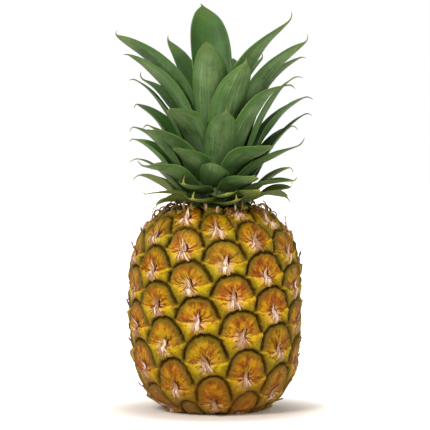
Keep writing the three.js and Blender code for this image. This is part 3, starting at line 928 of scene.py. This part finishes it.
def leaf_mesh(name, rings, last_point, claw_share):
    """A leaf in quads from its cross sections, foot to tip, that knows how far along
    and across and on which face each point lies, and how much of it is claw."""
    points = np.concatenate(rings + [last_point[None]])
    last = len(points) - 1
    faces = [tuple(range(LEAF_SIDES))[::-1]]
    for first in range(0, last, LEAF_SIDES):
        for side in range(LEAF_SIDES):
            a = first + side
            b = first + (side + 1) % LEAF_SIDES
            if first + LEAF_SIDES == last:
                faces.append((a, b, last))
            else:
                faces.append((a, b, b + LEAF_SIDES, a + LEAF_SIDES))
    mesh = bpy.data.meshes.new(name)
    mesh.from_pydata(points.tolist(), [], faces)
    centres = np.array([ring.mean(0) for ring in rings] + [last_point])
    gone = np.linalg.norm(np.diff(centres, axis=0), axis=1)
    gone = np.concatenate(([0], np.cumsum(gone)))
    gone /= gone[-1]
    values = {
        "across": np.append(np.tile(LEAF_ACROSS, len(rings)), 0),
        "face": np.append(np.tile(LEAF_FACE, len(rings)), 0),
        "along": np.append(np.repeat(gone[:-1], LEAF_SIDES), 1),
        "claw": np.append(np.repeat(claw_share, LEAF_SIDES), 1),
    }
    give_values(mesh, "POINT", values)
    margins = mesh.attributes.new("crease_edge", "FLOAT", "EDGE")
    for edge in mesh.edges:
        one, two = edge.vertices
        at_margin = abs(values["across"][one]) == 1 and abs(values["across"][two]) == 1
        if at_margin and abs(one - two) == LEAF_SIDES:
            margins.data[edge.index].value = MARGIN_CREASE
    made = bpy.data.objects.new(name, mesh)
    scene.collection.objects.link(made)
    return made


def round_off(made, tone, rank):
    """Smooths a leaf, lets it wander with its neighbours and gives it its surface."""
    pick(made)
    rounding = made.modifiers.new("rounding", "SUBSURF")
    rounding.levels = 2
    rounding.render_levels = 2
    bpy.ops.object.modifier_apply(modifier="rounding")
    bpy.ops.object.shade_smooth()
    for vertex in made.data.vertices:
        at = vertex.co / MM
        reach = smooth(22, 40, math.hypot(at.x, at.y))
        vertex.co += wander(at / WANDER_SPAN) * LEAF_WANDER * float(reach) * MM
    give_values(made.data, "POINT", {"leaf_tone": tone, "leaf_rank": rank})
    made.data.materials.append(leaf_skin)
    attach(made, "root")


for number in range(1, LEAF_COUNT + 1):
    node_name = f"leaf_{number:02d}"
    rings, tip = leaf_sections(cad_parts[node_name])
    slight_twist = random.uniform(-SLIGHT_TWIST, SLIGHT_TWIST)
    twist, widening = TURNED_LEAVES.get(number, (slight_twist, SLIGHT_WIDENING))
    centres = [ring.mean(0) for ring in rings] + [tip]
    for index, ring in enumerate(rings):
        grown_share = float(smooth(0.1, 0.55, index / len(rings)))
        onward = Vector(centres[index + 1] - centres[max(index - 1, 0)])
        turning = Matrix.Rotation(math.radians(twist * grown_share), 3, onward.normalized())
        offset = (ring - centres[index]) * (1 + (widening - 1) * grown_share)
        rings[index] = centres[index] + offset @ np.array(turning).T

    # The claw starts at the tip and turns to one face of the leaf
    last_ring = rings[-1]
    onward = tip - last_ring.mean(0)
    onward /= np.linalg.norm(onward)
    sideways = last_ring[4] - last_ring[0]
    sideways /= np.linalg.norm(sideways)
    inward = np.cross(sideways, onward)
    inward *= np.sign(inward @ (last_ring[5:].mean(0) - last_ring[1:4].mean(0)))
    length = random.uniform(4.0, 7.5) * MM
    hook = math.radians(random.uniform(40, 120)) * random.choice((-1, -1, -1, 1))
    swing = random.uniform(-0.5, 0.5)
    at = tip - onward * CLAW_START * MM
    claw_share = [0.0] * len(rings)
    gone = 0.0
    for way, half_width in CLAW_RINGS:
        turned = hook * way
        heading = onward * math.cos(turned) + inward * math.sin(turned) + sideways * swing * way
        at = at + heading * length * (way - gone)
        gone = way
        rise = inward * math.cos(turned) - onward * math.sin(turned)
        spread = LEAF_ACROSS[:, None] * sideways + LEAF_FACE[:, None] * CLAW_THICKNESS * rise
        rings.append(at + spread * half_width * MM)
        claw_share.append(0.15 + way)
    heading = onward * math.cos(hook) + inward * math.sin(hook) + sideways * swing
    last_point = at + heading * length * (1 - gone)
    leaf = leaf_mesh(f"crown_{node_name}", rings, last_point, claw_share)
    round_off(leaf, random.random(), number / LEAF_COUNT)
    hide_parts(node_name)

# ---- Crown heart
# The youngest leaves stand close together round the growing point, at the top of
# the crown stem. They are small, narrow and channelled, and not yet spread.
HEART_COUNT = 5
HEART_FOOT = 178.0
HEART_LENGTH = 40.0
HEART_HALF_WIDTH = 4.5
HEART_THICKNESS = 1.0
HEART_PLACES = (0, 0.12, 0.26, 0.42, 0.58, 0.74, 0.88)
HEART_AZIMUTH = 50.0
HEART_REACH = 2.4  # of a leaf's foot from the axis
HEART_SPREAD = 7.0  # of the tip from the foot, on the outermost leaf
HEART_CHANNEL = 0.07  # draws the margins in, by the square of the half width
HEART_RANK = 0.8


def around(azimuth, reach, aside, height):
    """Points that lie some mm out from the axis at an azimuth, aside from there, and up."""
    turn = math.radians(azimuth)
    x = reach * math.sin(turn) + aside * math.cos(turn)
    y = aside * math.sin(turn) - reach * math.cos(turn)
    return np.stack(np.broadcast_arrays(x, y, height), axis=-1) * MM


for number in range(HEART_COUNT):
    azimuth = DIVERGENCE * number + HEART_AZIMUTH
    length = HEART_LENGTH * (1 - 0.11 * number)
    spread = HEART_SPREAD - 1.2 * number
    rings = []
    for way in HEART_PLACES:
        half_width = HEART_HALF_WIDTH * (0.75 + 0.5 * way) * (1 - way**2.5) ** 0.8
        aside = LEAF_ACROSS * half_width
        reach = HEART_REACH + spread * way**2 - HEART_CHANNEL * aside**2
        reach -= LEAF_FACE * HEART_THICKNESS / 2 * (1 - 0.5 * way)
        rings.append(around(azimuth, reach, aside, HEART_FOOT + length * way))
    last_point = around(azimuth, HEART_REACH + spread, 0, HEART_FOOT + length)
    young = leaf_mesh(f"heart_leaf_{number + 1}", rings, last_point, [0.0] * len(rings))
    round_off(young, random.random(), HEART_RANK)

# ---- Basal scales
# Under the lowest leaves the spiral goes on as short, broad scales that lie on
# the shoulder of the fruit. They are the same tissue, yellow towards the tip.
SCALE_COUNT = 9
LEAF_ZERO_AZIMUTH = -124.1
SCALE_FOOT = 19.5
SCALE_LENGTH = 12.5
SCALE_HALF_WIDTH = 8.5
SCALE_THICKNESS = 0.9
SCALE_PLACES = (0, 0.14, 0.3, 0.48, 0.66, 0.82, 0.94)
SCALE_CLEARANCE = 1.0  # over the shoulder
SCALE_RANK = 0.1

# The margins are drawn in round the stem at the foot and turned up at the tip, by these
# times the square of their distance from the middle line
SCALE_WRAP = 0.012
SCALE_CUP = 0.014


def shoulder_height(reach):
    """Height of the shoulder of the fruit at some distance from its axis."""
    top = len(BARREL_RADIUS) // 2
    height = np.interp(-reach, -BARREL_RADIUS[top:], BARREL_HEIGHT[top:])
    return min(float(height), SHOULDER_HEIGHT)


for number in range(SCALE_COUNT):
    azimuth = LEAF_ZERO_AZIMUTH - DIVERGENCE * number + random.uniform(-4, 4)
    length = SCALE_LENGTH * random.uniform(0.85, 1.15)
    lifted = random.uniform(0.5, 2.5)
    sunk = random.uniform(0.0, 1.5)
    rings = []
    for way in SCALE_PLACES:
        reach = SCALE_FOOT + length * way
        height = shoulder_height(reach) + SCALE_CLEARANCE - sunk * way**4
        height += lifted * math.sin(math.pi * way * 0.8)
        half_width = SCALE_HALF_WIDTH * (0.8 + 0.2 * way) * (1 - way**3) ** 0.7
        aside = LEAF_ACROSS * half_width
        thick = LEAF_FACE * SCALE_THICKNESS / 2 * (1 - 0.5 * way)
        drawn_in = reach - SCALE_WRAP * aside**2 * (1 - way)
        rings.append(around(azimuth, drawn_in, aside, height + thick + SCALE_CUP * aside**2 * way))
    reach = SCALE_FOOT + length
    tip_height = shoulder_height(reach) + SCALE_CLEARANCE + lifted * 0.6 - sunk
    last_point = around(azimuth, reach, 0, tip_height)
    scale = leaf_mesh(f"basal_scale_{number + 1}", rings, last_point, [0.0] * len(rings))
    round_off(scale, random.random(), SCALE_RANK)

# ---- Withered bracts
# The narrow bracts between fruit and crown have died back to curled brown
# ribbons. They lie all round the shoulder and loop over the edge of it.
RIBBON_COUNT = 44
RIBBON_STEPS = 14
RIBBON_WIDTH = 2.0
RIBBON_THICKNESS = 0.4
RIBBON_LENGTH = 17.0
RIBBON_CLEARANCE = 0.6  # over the shoulder
RIBBON_ROOT = 2  # steps from the foot that may lie lower than that

ribbon, ribbon_flat = thin_strip(2, RIBBON_STEPS, RIBBON_THICKNESS)

ribbons = []
for number in range(RIBBON_COUNT):
    azimuth = 360 / RIBBON_COUNT * number + random.uniform(-6, 6)
    reach = random.uniform(26, 42)
    heading = math.radians(random.uniform(35, 75))
    curl = math.radians(random.uniform(130, 290)) * random.choice((1, 1, -1))
    sweep = math.radians(random.uniform(-55, 55))
    twist = math.radians(random.uniform(-120, 120))
    length = RIBBON_LENGTH * random.uniform(0.5, 1.0)
    tone = random.random()
    at = Vector((reach, 0, shoulder_height(reach) - 0.5))
    spine = []
    for step in range(RIBBON_STEPS + 1):
        way = step / RIBBON_STEPS
        lean = heading + curl * way**1.5
        side = sweep * way
        flat = math.sin(lean)
        ahead = Vector((flat * math.cos(side), flat * math.sin(side), math.cos(lean)))
        lowest = shoulder_height(math.hypot(at.x, at.y)) + RIBBON_CLEARANCE
        spine.append((at.copy(), ahead))
        at = at + ahead * length / RIBBON_STEPS
        if step > RIBBON_ROOT:
            at.z = max(at.z, lowest)
    copied = own_copy(ribbon)
    for vertex, (u, v, w) in zip(copied.data.vertices, ribbon_flat):
        way = v / 2 + 0.5
        at, ahead = spine[round(way * RIBBON_STEPS)]
        wide = (Vector((0, 1, 0)) - ahead * ahead.y).normalized()
        thin = ahead.cross(wide)
        roll = twist * way
        wide, thin = (
            wide * math.cos(roll) + thin * math.sin(roll),
            thin * math.cos(roll) - wide * math.sin(roll),
        )
        half_width = RIBBON_WIDTH / 2 * (1 - way**2) ** 0.7 * (0.7 + 0.6 * way) + 0.12
        spot = at + wide * u * half_width + thin * w
        vertex.co = around(azimuth, spot.x, spot.y, spot.z)
    give_values(copied.data, "POINT", {"strip_along": ribbon_flat[:, 1] / 2 + 0.5, "strip_tone": tone})
    ribbons.append(copied)
bpy.data.objects.remove(ribbon)
withered = joined(ribbons, "withered_bracts")
with editing():
    bpy.ops.mesh.normals_make_consistent(inside=False)
bpy.ops.object.shade_smooth()

# Dead leaf tissue that has dried in curls: olive brown where it is still joined on,
# tan along its length and dark at the very end, with a dull papery surface.
withered_tissue, shader = new_material("withered_leaf_tissue")
along, tone = (
    add_node(withered_tissue, "Attribute", output="Fac", attribute_name=name)
    for name in ("strip_along", "strip_tone")
)
place = add_node(withered_tissue, "TexCoord", output="Object")
blotch_noise = {"Vector": place, "Scale": 1 / (3 * MM), "Detail": 4.0}
blotch = add_node(withered_tissue, "TexNoise", blotch_noise)
tissue = layered(
    withered_tissue,
    "#96683a",
    (blotch, 0.35, 0.65, 1.0, "#5c3a1a"),
    (tone, 0.75, 0.9, 0.7, "#d8b894"),
    (along, 0.45, 0.0, 0.85, "#70691f"),
    (along, 0.8, 1.0, 0.8, "#4c2c14"),
)
set_inputs(withered_tissue, shader, {"Base Color": tissue, "Roughness": 0.8})
withered.data.materials.append(withered_tissue)
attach(withered, "root")

# ---- Studio
# A long lens that looks down a little, white paper that runs out into a white
# surround, and three soft boxes: two in front, the left one stronger, and one on top.
LENS = 230.3
SENSOR_WIDTH = 36.0
CAMERA_DISTANCE = 2.0
CAMERA_ELEVATION = math.radians(3)
CAMERA_TARGET = Vector((-0.0002, 0, 0.142))
FLOOR_RADIUS = 4.0
SURROUND_LIGHT = 0.56
SHEET_START = 0.056  # from here out the paper shines on its own, and is all white
SHEET_END = 0.125  # beyond here

scene.view_settings.view_transform = "Standard"
bpy.ops.object.select_all(action="DESELECT")
bpy.ops.object.camera_add()
camera = bpy.context.object
camera.name = "camera"
camera.data.lens = LENS
camera.data.sensor_width = SENSOR_WIDTH
back = Vector((0, -math.cos(CAMERA_ELEVATION), math.sin(CAMERA_ELEVATION)))
camera.location = CAMERA_TARGET + CAMERA_DISTANCE * back
camera.rotation_euler = (math.pi / 2 - CAMERA_ELEVATION, 0, 0)
scene.camera = camera

world = bpy.data.worlds.new("surround")
world.use_nodes = True
surround = world.node_tree.nodes["Background"]
seen = add_node(world, "LightPath", output="Is Camera Ray")
strength = add_node(world, "MapRange", {0: seen, 1: 0, 2: 1, 3: SURROUND_LIGHT, 4: 1.0})
set_inputs(world, surround, {"Color": "#ffffff", "Strength": strength})
scene.world = world

SOFT_BOXES = (
    ("key_light", (-0.75, -1.15, 1.05), 0.6, 21.0),
    ("fill_light", (1.0, -1.1, 0.5), 0.8, 7.5),
    ("top_light", (0.0, 0.3, 1.3), 0.9, 4.0),
)
for name, spot, size, power in SOFT_BOXES:
    bpy.ops.object.light_add(type="AREA", location=spot)
    lamp = bpy.context.object
    lamp.name = name
    lamp.data.size = size
    lamp.data.energy = power
    aim = CAMERA_TARGET - Vector(spot)
    lamp.rotation_euler = aim.to_track_quat("-Z", "Y").to_euler()

bpy.ops.mesh.primitive_circle_add(vertices=96, radius=FLOOR_RADIUS, fill_type="NGON")
floor = bpy.context.object
floor.name = "floor"

# A sheet of matt paper, overexposed away from the fruit. Its warm tint is painted
# light, standing for light bounced off the fruit into the shadow near it
paper, shader = new_material("white_paper")
place = add_node(paper, "TexCoord", output="Object")
reach = add_node(paper, "VectorMath", {0: place}, output="Value", operation="LENGTH")
glow = add_node(paper, "MapRange", {0: reach, 1: SHEET_START, 2: SHEET_END}, **EASED)
seen = add_node(paper, "LightPath", output="Is Camera Ray")
glow = add_node(paper, "Math", {0: glow, 1: seen}, operation="MULTIPLY")
set_inputs(paper, shader, {"Emission Color": "#ffffff", "Emission Strength": glow})
set_inputs(paper, shader, {"Base Color": "#f1e8de", "Roughness": 0.9})
floor.data.materials.append(paper)
